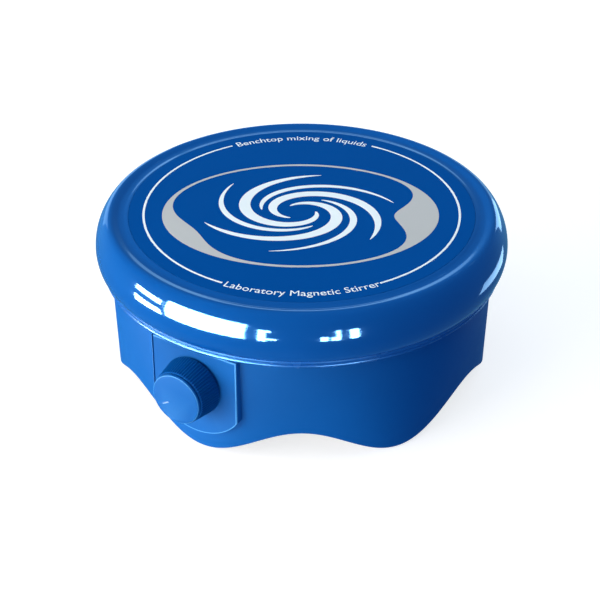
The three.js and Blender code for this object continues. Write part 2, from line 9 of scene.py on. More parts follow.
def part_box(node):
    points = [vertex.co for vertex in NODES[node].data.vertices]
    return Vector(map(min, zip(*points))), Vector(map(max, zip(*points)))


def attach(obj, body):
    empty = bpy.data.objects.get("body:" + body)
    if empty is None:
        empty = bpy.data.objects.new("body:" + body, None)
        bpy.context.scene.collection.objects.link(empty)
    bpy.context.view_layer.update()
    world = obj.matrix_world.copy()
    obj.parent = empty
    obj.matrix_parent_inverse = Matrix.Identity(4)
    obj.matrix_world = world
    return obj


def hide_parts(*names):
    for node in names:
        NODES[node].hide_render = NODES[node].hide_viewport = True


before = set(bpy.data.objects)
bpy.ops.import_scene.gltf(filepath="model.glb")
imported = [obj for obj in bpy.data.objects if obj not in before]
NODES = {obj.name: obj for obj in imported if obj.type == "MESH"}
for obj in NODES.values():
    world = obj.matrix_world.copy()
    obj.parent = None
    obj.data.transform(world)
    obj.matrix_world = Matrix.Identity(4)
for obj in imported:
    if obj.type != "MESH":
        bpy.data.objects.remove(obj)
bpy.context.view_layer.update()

MM = 0.001
LABEL_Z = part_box("top_label")[1][2]


def middle(node_name):
    """The middle of a CAD node's box, in millimetres."""
    low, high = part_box(node_name)
    return [round((a + b) / 2 / MM, 4) for a, b in zip(low, high)]


# ---- camera: distance and tilt solved from the printed ring -------------------------------------
SIGHT_DISTANCE = 0.5456
SIGHT_ELEVATION = math.radians(29.21)
AXIS_ELEVATION = math.radians(32.36)
SIDE_SHIFT = -0.00056
FOCAL_LENGTH, SENSOR_WIDTH = 98.73, 36.0

camera_data = bpy.data.cameras.new("camera")
camera_data.lens = FOCAL_LENGTH
camera_data.sensor_width = SENSOR_WIDTH
camera = bpy.data.objects.new("camera", camera_data)
bpy.context.collection.objects.link(camera)
camera.location = (
    SIDE_SHIFT,
    -SIGHT_DISTANCE * math.cos(SIGHT_ELEVATION),
    LABEL_Z + SIGHT_DISTANCE * math.sin(SIGHT_ELEVATION),
)
camera.rotation_euler = (math.pi / 2 - AXIS_ELEVATION, 0.0, 0.0)
bpy.context.scene.camera = camera
bpy.context.scene.view_settings.view_transform = "Standard"


# ---- node materials -------------------------------------------------------------------------------
class Look:
    """A Principled material whose colour, roughness and relief come from noise in object space."""

    def __init__(self, name, colour, roughness, metallic=0.0, specular=0.5, tint=None):
        self.material = bpy.data.materials.new(name)
        self.material.use_nodes = True
        self.tree = self.material.node_tree
        self.shader = self.tree.nodes["Principled BSDF"]
        self.shader.inputs["Metallic"].default_value = metallic
        self.shader.inputs["Specular IOR Level"].default_value = specular
        if tint:
            self.shader.inputs["Specular Tint"].default_value = (*tint, 1.0)
        self.colour = colour
        self.roughness = roughness
        self.coords = self.tree.nodes.new("ShaderNodeTexCoord").outputs["Object"]
        self.height = None

    def node(self, kind, **settings):
        made = self.tree.nodes.new(kind)
        for key, value in settings.items():
            setattr(made, key, value)
        return made

    def link(self, a, b):
        self.tree.links.new(a, b)

    def stretched(self, scale):
        mapping = self.node("ShaderNodeMapping")
        mapping.inputs["Scale"].default_value = scale
        self.link(self.coords, mapping.inputs["Vector"])
        return mapping.outputs["Vector"]

    def noise(self, scale, detail=3.0, rough=0.55, vector=None):
        made = self.node("ShaderNodeTexNoise")
        made.inputs["Scale"].default_value = scale
        made.inputs["Detail"].default_value = detail
        made.inputs["Roughness"].default_value = rough
        self.link(vector or self.coords, made.inputs["Vector"])
        return made.outputs["Fac"]

    def remap(self, value, low, high, out_low, out_high):
        made = self.node("ShaderNodeMapRange")
        made.inputs["From Min"].default_value = low
        made.inputs["From Max"].default_value = high
        made.inputs["To Min"].default_value = out_low
        made.inputs["To Max"].default_value = out_high
        self.link(value, made.inputs["Value"])
        return made.outputs["Result"]

    def mix(self, factor, a, b):
        made = self.node("ShaderNodeMix", data_type="RGBA")
        self.link(factor, made.inputs["Factor"])
        for socket, value in ((made.inputs["A"], a), (made.inputs["B"], b)):
            if isinstance(value, tuple):
                socket.default_value = (*value, 1.0)
            else:
                self.link(value, socket)
        return made.outputs["Result"]

    def base(self, spread=0.08, scale=60.0, worn=None, worn_amount=0.5):
        """Colour: slow cloudy variation, then worn edges from the surface's curvature."""
        dark = tuple(c * (1 - spread) for c in self.colour)
        light = tuple(min(1.0, c * (1 + spread)) for c in self.colour)
        cloud = self.remap(self.noise(scale, 4.0), 0.3, 0.7, 0.0, 1.0)
        colour = self.mix(cloud, dark, light)
        if worn:
            point = self.node("ShaderNodeNewGeometry").outputs["Pointiness"]
            edge = self.remap(point, 0.53, 0.62, 0.0, worn_amount)
            colour = self.mix(edge, colour, worn)
        self.link(colour, self.shader.inputs["Base Color"])
        return colour

    def gloss(self, spread=0.05, scale=220.0, vector=None):
        value = self.remap(
            self.noise(scale, 2.0, 0.5, vector), 0.2, 0.8, self.roughness - spread, self.roughness + spread
        )
        self.link(value, self.shader.inputs["Roughness"])

    def relief(self, height, strength, distance):
        made = self.node("ShaderNodeBump")
        made.inputs["Strength"].default_value = strength
        made.inputs["Distance"].default_value = distance
        self.link(height, made.inputs["Height"])
        if self.height is not None:
            self.link(self.height, made.inputs["Normal"])
        self.height = made.outputs["Normal"]
        self.link(self.height, self.shader.inputs["Normal"])


def moulded(
    name, colour, roughness, grain=1400.0, depth=0.00002, strength=0.08, worn=None, spread=0.06,
    specular=0.5, wave=0.0, tint=None,
):
    """A moulded or painted surface: fine grain, faint clouds, worn edges and, if asked, a slow sink wave."""
    look = Look(name, colour, roughness, specular=specular, tint=tint)
    look.base(spread, 45.0, worn, 0.35)
    look.gloss(roughness * 0.1, 120.0)
    look.relief(look.noise(grain, 2.0, 0.5), strength, depth)
    if wave:
        look.relief(look.noise(60.0, 1.0), wave, 0.0004)
    return look.material


def metal(name, colour, roughness, brushed=None, spread=0.10, worn=None):
    """A metal; brushed stretches its grain along the axes with small factors."""
    look = Look(name, colour, roughness, metallic=1.0)
    look.base(spread, 180.0, worn, 0.5)
    vector = look.stretched(brushed) if brushed else None
    look.gloss(roughness * 0.2, 900.0, vector)
    look.relief(look.noise(1500.0, 3.0, 0.6, vector), 0.06, 0.00001)
    return look.material


BLUE_COLOUR = (0.003, 0.078, 0.335)
SKY_TINT = (0.2, 0.55, 1.0)
BODY_BLUE = moulded(
    "body_blue_abs", BLUE_COLOUR, 0.07, 1300.0, 0.00001, 0.02, (0.03, 0.14, 0.42), 0.03, 1.0, wave=0.02,
    tint=SKY_TINT,
)
SKIRT_BLUE = moulded(
    "skirt_blue_abs", (0.003, 0.083, 0.325), 0.45, 3500.0, 0.00001, 0.1, (0.02, 0.15, 0.44), 0.03, 0.055,
    tint=SKY_TINT,
)
KNOB_BLUE = moulded(
    "knob_blue_abs", (0.003, 0.086, 0.335), 0.45, 3500.0, 0.00001, 0.1, (0.03, 0.17, 0.47), 0.03, 0.06,
    tint=SKY_TINT,
)
COLLAR_BLUE = moulded(
    "collar_blue_abs", BLUE_COLOUR, 0.27, 1300.0, 0.00001, 0.03, (0.03, 0.14, 0.42), 0.03, 0.6,
    tint=SKY_TINT,
)
# The knob's grip: a darker blue that is painted shade, standing in for the shadow under the cover's rim.
SHADED_GRIP_BLUE = moulded(
    "grip_blue_painted_shade", (0.001, 0.060, 0.225), 0.5, 3500.0, 0.00001, 0.1, (0.003, 0.08, 0.26), 0.03, 0.02,
    tint=SKY_TINT,
)
# A lighter blue on the pad's edge and round the knob face's edge: a painted highlight.
EDGE_HIGHLIGHT_BLUE = moulded(
    "painted_edge_highlight_blue", (0.045, 0.23, 0.56), 0.4, 3500.0, 0.00001, 0.1, None, 0.06, 0.1, tint=SKY_TINT
)
LABEL_BLUE = moulded(
    "label_blue_print", (0.0005, 0.070, 0.310), 0.25, 2600.0, 0.00001, 0.05, None, 0.02, 0.02, tint=SKY_TINT
)
PRINT_WHITE = moulded("print_white_ink", (0.86, 0.94, 0.97), 0.35, 3000.0, 0.00001, 0.05, None, 0.02, 0.05)
PRINT_GREY = moulded("print_grey_ink", (0.53, 0.54, 0.54), 0.35, 3000.0, 0.00001, 0.05, None, 0.02, 0.05)
NYLON_BLACK = moulded("nylon_black", (0.018, 0.019, 0.021), 0.5, 900.0, 0.00006, 0.35, (0.09, 0.09, 0.095))
RUBBER = moulded("foot_rubber", (0.016, 0.016, 0.017), 0.82, 700.0, 0.00008, 0.5, (0.06, 0.06, 0.06), 0.2)
NYLON_WHITE = moulded("nylon_natural", (0.74, 0.70, 0.60), 0.45, 900.0, 0.00004, 0.2, (0.86, 0.84, 0.78))
PAINT_PALE = moulded("paint_pale_blue", (0.035, 0.18, 0.48), 0.45, 2000.0, 0.00001, 0.2)
ZINC = metal("zinc_plate", (0.60, 0.61, 0.63), 0.3, None, 0.12, (0.78, 0.78, 0.79))
SHEET_STEEL = metal("drawn_steel", (0.40, 0.42, 0.44), 0.34, (1.0, 1.0, 0.08), 0.12, (0.62, 0.63, 0.64))
TURNED_STEEL = metal("turned_steel", (0.52, 0.53, 0.54), 0.22, (1.0, 1.0, 6.0), 0.1)
BRONZE = metal("sintered_bronze", (0.42, 0.24, 0.10), 0.5, None, 0.25, (0.60, 0.40, 0.20))
COPPER = metal("bare_copper", (0.62, 0.27, 0.12), 0.3, None, 0.18, (0.78, 0.42, 0.25))
NICKEL = metal("nickel_plate", (0.66, 0.63, 0.57), 0.16, None, 0.06)
ALUMINIUM = metal("extruded_aluminium", (0.50, 0.51, 0.53), 0.36, (1.0, 1.0, 0.05), 0.1, (0.7, 0.7, 0.72))
FERRITE = moulded("ferrite", (0.05, 0.05, 0.055), 0.62, 1200.0, 0.00008, 0.5, (0.14, 0.14, 0.145), 0.25)
CARBON = moulded("pressed_carbon", (0.02, 0.02, 0.022), 0.6, 2400.0, 0.00004, 0.5, (0.1, 0.1, 0.1), 0.3)
ENAMEL = metal("enamelled_wire", (0.45, 0.15, 0.04), 0.28, (0.2, 0.2, 6.0), 0.2)
BOARD = moulded("solder_mask_green", (0.012, 0.125, 0.045), 0.3, 500.0, 0.00004, 0.25, None, 0.25)
SLEEVE = moulded("capacitor_sleeve", (0.018, 0.021, 0.03), 0.32, 800.0, 0.00002, 0.2, None, 0.1)
LEAD_RED = moulded("lead_red_pvc", (0.48, 0.012, 0.012), 0.4, 900.0, 0.00003, 0.2, None, 0.1)
LEAD_BLACK = moulded("lead_black_pvc", (0.012, 0.012, 0.013), 0.4, 900.0, 0.00003, 0.2, None, 0.2)
LEAD_GREY = moulded("lead_grey_pvc", (0.30, 0.31, 0.33), 0.45, 900.0, 0.00003, 0.2, None, 0.1)

NODE_LOOKS = {
    "top_label": LABEL_BLUE,
    "base_plate": NYLON_BLACK,
    "motor_bracket": ZINC,
    "motor_can": SHEET_STEEL,
    "motor_end_cap": NYLON_BLACK,
    "upper_bush": BRONZE,
    "lower_bush": BRONZE,
    "motor_shaft": TURNED_STEEL,
    "armature_core": SHEET_STEEL,
    "commutator": COPPER,
    "magnet_carrier": SHEET_STEEL,
    "carrier_set_screw": SHEET_STEEL,
    "potentiometer_body": SHEET_STEEL,
    "potentiometer_washer": ZINC,
    "potentiometer_nut": NICKEL,
    "potentiometer_shaft": TURNED_STEEL,
    "knob_pointer": PAINT_PALE,
    "power_jack_nut": NICKEL,
    "control_board": BOARD,
    "heat_sink": ALUMINIUM,
    "power_transistor": NYLON_BLACK,
    "filter_capacitor": SLEEVE,
    "motor_connector": NYLON_WHITE,
    "control_connector": NYLON_WHITE,
    "motor_lead_red": LEAD_RED,
    "motor_lead_black": LEAD_BLACK,
    "power_lead_red": LEAD_RED,
    "power_lead_black": LEAD_BLACK,
    "control_lead": LEAD_GREY,
}
for prefix, look in (
    ("housing_screw_", ZINC), ("bracket_screw_", ZINC), ("motor_screw_", ZINC),
    ("field_magnet_", FERRITE), ("brush_", CARBON), ("motor_terminal_", COPPER), ("armature_coil_", ENAMEL),
    ("stirring_magnet_", NICKEL),
):
    for node_name in NODES:
        if node_name.startswith(prefix):
            NODE_LOOKS[node_name] = look


def dress(obj, look):
    if not obj.material_slots:
        obj.data.materials.append(look)
    for slot in obj.material_slots:
        slot.material = look


# Faces that meet at less than this many degrees shade as one smooth surface.
CAD_SMOOTH = 40
HOUSING_SMOOTH = 28


def smooth(obj, degrees):
    """Rounds the shading of gentle facets and keeps the real edges crisp."""
    mesh = obj.data
    mesh.shade_smooth()
    mesh.set_sharp_from_angle(angle=math.radians(degrees))


EASED = (
    "base_plate", "motor_bracket", "motor_end_cap", "heat_sink", "power_transistor", "motor_connector",
    "control_connector", "control_board", "potentiometer_", "power_jack_nut", "housing_screw_",
    "bracket_screw_", "motor_screw_", "stirring_magnet_", "magnet_carrier", "motor_can",
    "filter_capacitor", "top_label",
)
EASED_EDGE, EASED_ANGLE = 0.12, 50


def ease(obj, width):
    """Small rounded edges, as moulding, stamping or tumbling leaves them."""
    modifier = obj.modifiers.new("eased_edges", "BEVEL")
    modifier.width = width * MM
    modifier.segments = 2
    modifier.limit_method = "ANGLE"
    modifier.angle_limit = math.radians(EASED_ANGLE)
    modifier.use_clamp_overlap = True


for node_name, look in NODE_LOOKS.items():
    dress(NODES[node_name], look)
    smooth(NODES[node_name], CAD_SMOOTH)
    if node_name.startswith(EASED):
        ease(NODES[node_name], EASED_EDGE)


# ---- mesh helpers -----------------------------------------------------------------------------------
def add_mesh(name, bm, look, body, replaces=(), sharp=35.0):
    bmesh.ops.recalc_face_normals(bm, faces=bm.faces)
    mesh = bpy.data.meshes.new(name)
    bm.to_mesh(mesh)
    bm.free()
    obj = bpy.data.objects.new(name, mesh)
    bpy.context.collection.objects.link(obj)
    dress(obj, look)
    smooth(obj, sharp)
    if body:
        finish_piece(obj, body, replaces)
    return obj


def finish_piece(obj, body, replaces=()):
    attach(obj, body)
    if replaces:
        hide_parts(*replaces)


def spin(bm, profile, segments=128, lift=None):
    """Revolves a closed loop of (radius, height) in millimetres about +Z; ends on the axis are capped."""
    on_axis = profile[0][0] == 0
    rings = []
    for r, z in profile:
        if r == 0:
            rings.append([bm.verts.new((0, 0, z * MM))])
            continue
        ring = []
        for k in range(segments):
            angle = 2 * math.pi * k / segments
            rise = lift(r, z, angle) if lift else 0.0
            ring.append(bm.verts.new((r * math.cos(angle) * MM, r * math.sin(angle) * MM, (z + rise) * MM)))
        rings.append(ring)
    count = len(rings)
    for i in range(count if not on_axis else count - 1):
        a, b = rings[i], rings[(i + 1) % count]
        for k in range(segments):
            k2 = (k + 1) % segments
            corners = []
            for v in (a[k % len(a)], a[k2 % len(a)], b[k2 % len(b)], b[k % len(b)]):
                if v not in corners:
                    corners.append(v)
            if len(corners) > 2:
                bm.faces.new(corners)


def lathe(bm, profile, segments, matrix):
    """Adds one more revolved body to bm and sets it in place."""
    before = len(bm.verts)
    spin(bm, profile, segments)
    bm.verts.ensure_lookup_table()
    bmesh.ops.transform(bm, matrix=matrix, verts=bm.verts[before:])


def arc_run(start, radius, first, last, steps=5):
    """A convex arc going down from start, given by the elevation of its outward normal in degrees."""
    turns = [math.radians(first + (last - first) * k / steps) for k in range(steps + 1)]
    return [
        (
            start[0] + radius * (math.cos(turn) - math.cos(turns[0])),
            start[1] + radius * (math.sin(turn) - math.sin(turns[0])),
        )
        for turn in turns[1:]
    ]


def paint_faces(obj, look, chosen):
    """Gives the faces picked by chosen(centre, normal), in metres, a look of their own."""
    if look.name not in obj.data.materials:
        obj.data.materials.append(look)
    index = obj.data.materials.find(look.name)
    for polygon in obj.data.polygons:
        if chosen(polygon.center, polygon.normal):
            polygon.material_index = index


def smooth_path(points, steps=6):
    """Catmull-Rom through 2-D points."""
    result = []
    for i in range(len(points) - 1):
        p0 = points[max(i - 1, 0)]
        p1, p2 = points[i], points[i + 1]
        p3 = points[min(i + 2, len(points) - 1)]
        for k in range(steps):
            t = k / steps
            result.append(tuple(
                0.5 * (
                    2 * b + (c - a) * t + (2 * a - 5 * b + 4 * c - d) * t * t
                    + (3 * b - a - 3 * c + d) * t ** 3
                )
                for a, b, c, d in zip(p0, p1, p2, p3)
            ))
    result.append(points[-1])
    return result


# ---- top cover --------------------------------------------------------------------------------------
# Outside the deck the profile is (radius, height above the label): channel, ridge and rim, then the
# collar's step, then the bead at the bottom edge.
LABEL_TOP = LABEL_Z / MM
DECK_UNDERSIDE = 53.2
COVER_SEGMENTS = 240
RIM = [
    (57.34, -0.03), (58.0, -0.12), (58.8, -0.29), (59.8, -0.37), (60.6, -0.33), (61.3, -0.14),
    (61.95, 0.06), (62.6, 0.22), (63.3, 0.24), (64.1, -0.02), (65.1, -0.8), (66.4, -2.5), (67.5, -4.8),
    (68.2, -7.2), (68.5, -9.9), (68.3, -12.0), (67.85, -13.6), (67.25, -14.75), (66.6, -15.5),
    (66.4, -15.68),
]
STEP = [
    (66.36, -15.78), (66.38, -15.9), (66.42, -16.2), (66.44, -16.45), (66.4, -16.62), (66.28, -16.76),
    (66.12, -16.84), (66.06, -16.93), (66.12, -17.03),
]
# The bead is three arcs, each given by its radius and the lean of its surface from first to last.
bead = arc_run(STEP[-1], 0.3, 65, 24.5, 4)
bead += arc_run(bead[-1], 1.3, 24.5, 7.5, 5)
bead += arc_run(bead[-1], 0.5, 7.5, -50, 5)
bead += [(65.9, -18.16), (65.5, -18.25), (64.6, -18.25)]
outer = [(0, -0.7), (57.32, -0.7)] + smooth_path(RIM, 5) + STEP + bead
inner = [
    (61.9, 38.45), (61.7, 38.65), (61.7, 43.4), (65.5, 45.2), (65.2, 50.2), (62.0, DECK_UNDERSIDE),
    (0, DECK_UNDERSIDE),
]
cover_profile = [(r, LABEL_TOP + dz) for r, dz in outer] + inner
# Bosses for the base plate's screws and posts for the motor bracket's, which both stand under the deck.
SCREW_CIRCLE = -middle("housing_screw_1")[1]
POST_CIRCLE = -middle("bracket_screw_1")[1]
FIXINGS = [math.radians(degrees) for degrees in (-90, 30, 150)]
BOSS_SEGMENTS = 32
BOSS_END = round(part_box("top_cover")[0][2] / MM, 3)
BOSS_TOP = DECK_UNDERSIDE + 1.3
BOSS = [
    (1.7, BOSS_END), (3.3, BOSS_END), (3.6, BOSS_END + 0.2), (3.7, BOSS_END + 0.5), (3.7, BOSS_TOP),
    (1.7, BOSS_TOP),
]
POST = [
    (0, 51.0), (1.5, 51.0), (1.5, 43.5), (3.2, 43.5), (3.45, 43.65), (3.5, 43.9), (3.5, BOSS_TOP),
    (0, BOSS_TOP),
]


def on_circle(radius, angle):
    """The frame of a fixing that stands upright on a circle round the middle; angle in radians."""
    return Matrix.Translation((radius * MM * math.cos(angle), radius * MM * math.sin(angle), 0))


bm = bmesh.new()
spin(bm, cover_profile, COVER_SEGMENTS)
for angle in FIXINGS:
    lathe(bm, BOSS, BOSS_SEGMENTS, on_circle(SCREW_CIRCLE, angle))
    lathe(bm, POST, BOSS_SEGMENTS, on_circle(POST_CIRCLE, angle))
cover = add_mesh("cover_shell", bm, BODY_BLUE, "housing", ("top_cover",), HOUSING_SMOOTH)

COLLAR_LOW, COLLAR_HIGH, COLLAR_RADIUS = LABEL_TOP - 18.3, LABEL_TOP - 15.72, 65.6


def on_collar(centre, normal):
    outside = math.hypot(centre.x, centre.y) > COLLAR_RADIUS * MM
    return outside and COLLAR_LOW * MM < centre.z < COLLAR_HIGH * MM


paint_faces(cover, COLLAR_BLUE, on_collar)

# ---- lower housing: skirt with a scalloped edge -------------------------------------------------------
SKIRT_TOP = 38.0
SKIRT_SEGMENTS = 288
LOBES = 6
ARCH_HEIGHT = 10.9
FREE_EDGE = 3.0


def edge_lift(r, z, angle):
    """Raises the free edge into arches between the lobes and leaves the rest of the wall alone."""
    if z > FREE_EDGE:
        return 0.0
    return 0.5 * ARCH_HEIGHT * (1 - math.cos(LOBES * angle))


# (radius, height): free edge, outer wall, spigot into the cover, inner wall and the base plate's ledge.
skirt_profile = [
    (60.4, 1.1), (60.55, 0.7), (60.9, 0.5), (62.4, 0.5), (62.75, 0.7), (62.9, 1.1), (63.85, 37.6),
    (63.8, 37.85), (63.5, SKIRT_TOP), (61.3, SKIRT_TOP), (61.3, 43.1), (59.6, 43.1), (59.6, 37.0),
    (61.4, 35.2), (60.9, 17.6), (52.6, 17.6), (52.6, 15.4), (60.8, 15.4),
]
bm = bmesh.new()
spin(bm, skirt_profile, SKIRT_SEGMENTS, edge_lift)
skirt = add_mesh("skirt_shell", bm, SKIRT_BLUE, None, sharp=HOUSING_SMOOTH)

KNOB_AZIMUTH = math.radians(-31.9)
KNOB_HEIGHT = middle("speed_knob")[2]
JACK_HEIGHT = middle("power_jack")[2]


def facing(azimuth, height):
    """The frame of a part set in the wall: x to its right, y up, z straight out from the middle."""
    turn = Matrix.Rotation(azimuth, 4, "Z") @ Matrix.Rotation(math.pi / 2, 4, "X")
    return Matrix.Translation((0, 0, height * MM)) @ turn


LOOK_OUT = facing(KNOB_AZIMUTH, KNOB_HEIGHT)
LOOK_BACK = facing(math.pi, JACK_HEIGHT)


EDGE_STEPS = 3


def prism(name, outline, z0, z1, matrix, bevel=0.0, highlight_band=0.0):
    """A straight plate over an outline in millimetres, its front edge rounded if asked, and a band round its
    front face set apart for a painted highlight if asked.
    """
    made = bmesh.new()
    low = [made.verts.new((x * MM, y * MM, z0 * MM)) for x, y in outline]
    high = [made.verts.new((x * MM, y * MM, z1 * MM)) for x, y in outline]
    made.faces.new(list(reversed(low)))
    top = made.faces.new(high)
    for k in range(len(outline)):
        j = (k + 1) % len(outline)
        made.faces.new((low[k], low[j], high[j], high[k]))
    if bevel:
        edges = list(top.edges)
        width = bevel * MM
        bmesh.ops.bevel(made, geom=edges, offset=width, segments=EDGE_STEPS, profile=0.5, affect="EDGES")
    # The band round the front face takes material slot 1, which holds the painted highlight on the pad.
    if highlight_band:
        front = max(made.faces, key=lambda face: face.calc_center_median().z)
        border = bmesh.ops.inset_region(made, faces=[front], thickness=highlight_band * MM, depth=0.0)["faces"]
        for face in border:
            face.material_index = 1
    bmesh.ops.transform(made, matrix=matrix, verts=made.verts)
    return add_mesh(name, made, SKIRT_BLUE, None)


def boolean(target, tool, operation):
    """Adds tool to target or cuts it away, and removes the tool."""
    modifier = target.modifiers.new(operation, "BOOLEAN")
    modifier.operation = operation
    modifier.solver = "EXACT"
    modifier.object = tool
    bpy.context.view_layer.objects.active = target
    bpy.ops.object.modifier_apply(modifier=modifier.name)
    bpy.data.objects.remove(tool, do_unlink=True)


# The knob's pad: straight sides, a round bottom edge, and a face just proud of the wall.
PAD_HALF, PAD_ARC, PAD_CENTRE = 16.0, 19.0, 1.0
PAD_TOP = SKIRT_TOP - 0.15 - KNOB_HEIGHT
PAD_FACE, PAD_EDGE = 63.9, 0.3
IN_WALL = 60.2
corner = math.acos(PAD_HALF / PAD_ARC)
pad_outline = [(PAD_HALF, PAD_TOP), (-PAD_HALF, PAD_TOP)]
ARC_STEPS = 40
for k in range(ARC_STEPS + 1):
    angle = math.pi + corner + (math.pi - 2 * corner) * k / ARC_STEPS
    pad_outline.append((PAD_ARC * math.cos(angle), PAD_CENTRE + PAD_ARC * math.sin(angle)))
pad = prism("pad", list(reversed(pad_outline)), IN_WALL, PAD_FACE, LOOK_OUT, PAD_EDGE, PAD_EDGE)
# Slot 1 holds the painted highlight for the pad's edge band and chamfer.
for part in (skirt, pad):
    part.data.materials.append(EDGE_HIGHLIGHT_BLUE)
boolean(skirt, pad, "UNION")


def circle(radius, count=48):
    turns = [2 * math.pi * k / count for k in range(count)]
    return [(radius * math.cos(turn), radius * math.sin(turn)) for turn in turns]


def rounded_square(half, corner_radius, steps=6):
    points = []
    for quarter, (sx, sy) in enumerate(((1, 1), (-1, 1), (-1, -1), (1, -1))):
        for k in range(steps + 1):
            angle = math.pi / 2 * (quarter + k / steps)
            points.append((
                sx * (half - corner_radius) + corner_radius * math.cos(angle),
                sy * (half - corner_radius) + corner_radius * math.sin(angle),
            ))
    return points


# Flat land and hole for the power inlet, hole and room for the potentiometer, screw holes in the ledge.
LAND_HALF, LAND_CORNER, LAND_FACE, LAND_EDGE = 10.0, 3.0, 63.8, 0.4
POT_HOLE, POT_ROOM, JACK_HOLE, SCREW_HOLE = 3.8, 8.9, 5.8, 1.8
THROUGH_WALL, BEHIND_WALL, THROUGH_LEDGE = (55, 70), (50, 59.8), (14, 19)
land_outline = rounded_square(LAND_HALF, LAND_CORNER)
boolean(skirt, prism("jack_land", land_outline, IN_WALL, LAND_FACE, LOOK_BACK, LAND_EDGE), "UNION")
boolean(skirt, prism("pot_hole", circle(POT_HOLE), *THROUGH_WALL, LOOK_OUT), "DIFFERENCE")
boolean(skirt, prism("pot_room", circle(POT_ROOM), *BEHIND_WALL, LOOK_OUT), "DIFFERENCE")
boolean(skirt, prism("jack_hole", circle(JACK_HOLE), *THROUGH_WALL, LOOK_BACK), "DIFFERENCE")

# The dark witness line down the pad's left side, where the mould's insert meets the wall.
GAP_LEFT, GAP_RIGHT, GAP_TOP, GAP_DEPTH = -15.75, -15.1, 13.4, 0.5
gap_outline = [(GAP_LEFT, -8.6), (GAP_RIGHT, -9.2), (GAP_RIGHT, GAP_TOP), (GAP_LEFT, GAP_TOP)]
GAP_CUT = PAD_FACE - GAP_DEPTH, 66
boolean(skirt, prism("witness_gap", gap_outline, *GAP_CUT, LOOK_OUT), "DIFFERENCE")
for angle in FIXINGS:
    hole = prism("screw_hole", circle(SCREW_HOLE, 32), *THROUGH_LEDGE, on_circle(SCREW_CIRCLE, angle))
    boolean(skirt, hole, "DIFFERENCE")
smooth(skirt, HOUSING_SMOOTH)
out_of_wall = LOOK_OUT.inverted()


def on_pad_chamfer(centre, normal):
    """The rounded edge of the pad leans between the wall's direction and the pad face's."""
    spot = out_of_wall @ centre
    tilt = (out_of_wall.to_3x3() @ normal).z
    on_edge = spot.z > (PAD_FACE - 0.4) * MM and abs(spot.x) < (PAD_HALF + 0.4) * MM
    return on_edge and 0.15 < tilt < 0.97


# The pad's chamfer gets the painted highlight.
paint_faces(skirt, EDGE_HIGHLIGHT_BLUE, on_pad_chamfer)
finish_piece(skirt, "housing", ("lower_housing",))

# ---- knob ---------------------------------------------------------------------------------------------
# Rings are (distance out from the middle, radius at a rib's crest, depth of the grooves).
RIBS = 66
STEPS_PER_RIB = 6
HOLLOW_RADIUS, HOLLOW_FLOOR = 7.0, 67.6


def rib_radius(crest, depth, phase):
    """The grip's radius at phase 0 to 1 between one crest and the next."""
    return crest - depth * (0.5 - 0.5 * math.cos(2 * math.pi * phase)) ** 0.8


knob_rings = [
    (64.5, 7.0, 0.0), (64.5, 9.8, 0.0), (64.7, 10.18, 0.2), (65.2, 10.1, 0.24), (72.1, 9.06, 0.24),
    (72.42, 8.98, 0.18), (72.62, 8.78, 0.1), (72.66, 8.4, 0.0), (73.05, 8.35, 0.0), (73.1, 8.64, 0.0),
    (73.45, 8.7, 0.0), (73.75, 8.58, 0.0), (73.93, 8.36, 0.0), (74.0, 8.1, 0.0),
]
bm = bmesh.new()
total = RIBS * STEPS_PER_RIB
rings = []
for z, radius, depth in knob_rings + [(HOLLOW_FLOOR, HOLLOW_RADIUS, 0.0)]:
    ring = []
    for k in range(total):
        angle = 2 * math.pi * k / total
        r = rib_radius(radius, depth, (k % STEPS_PER_RIB) / STEPS_PER_RIB)
        ring.append(bm.verts.new((r * math.cos(angle) * MM, r * math.sin(angle) * MM, z * MM)))
    rings.append(ring)
hollow = rings.pop()
chain = [hollow] + rings
for a, b in zip(chain[:-1], chain[1:]):
    for k in range(total):
        j = (k + 1) % total
        bm.faces.new((a[k], a[j], b[j], b[k]))
bm.faces.new(rings[-1])
bm.faces.new(list(reversed(hollow)))
bmesh.ops.transform(bm, matrix=LOOK_OUT, verts=bm.verts)
knob = add_mesh("knob_cap", bm, KNOB_BLUE, "knob", ("speed_knob",), 40)


def knob_reach(centre):
    """How far out along the knob's own axis a point lies, in millimetres."""
    return (out_of_wall @ centre).z / MM


# The grip, darkened with painted shade; a painted highlight on the ring round the face's edge; and the
# smooth band between the two in the knob's own blue.
for look, start, end in ((SHADED_GRIP_BLUE, 64.4, 73.05), (EDGE_HIGHLIGHT_BLUE, 73.7, 73.9), (KNOB_BLUE, 72.2, 72.6)):
    paint_faces(knob, look, lambda centre, normal: start < knob_reach(centre) < end)

# ---- feet, with rings under them to grip, and the power inlet ------------------------------------------
# Profiles are (radius, height) for a foot and (radius, distance out from the middle) for the inlet.
FOOT_SEGMENTS, JACK_SEGMENTS, PIN_SEGMENTS = 56, 64, 32
FOOT = [
    (0, 0.35), (1.5, 0.35), (1.7, 0.05), (1.9, 0.0), (2.3, 0.0), (2.5, 0.05), (2.7, 0.35), (3.5, 0.35),
    (3.7, 0.05), (3.9, 0.0), (4.75, 0.0), (5.1, 0.1), (5.38, 0.35), (5.5, 0.75), (6.36, 12.0), (6.3, 12.4),
    (6.0, 12.6), (2.4, 12.6), (2.4, 15.4), (3.1, 15.4), (3.28, 15.55), (3.2, 15.8), (2.2, 17.3),
    (1.9, 17.5), (0, 17.5),
]
for node_name in sorted(name for name in NODES if name.startswith("rubber_foot_")):
    x, y, z = middle(node_name)
    foot_name = node_name.replace("rubber_foot", "foot")
    bm = bmesh.new()
    lathe(bm, FOOT, FOOT_SEGMENTS, Matrix.Translation((x * MM, y * MM, 0)))
    add_mesh(foot_name, bm, RUBBER, "housing", (node_name,), 50)

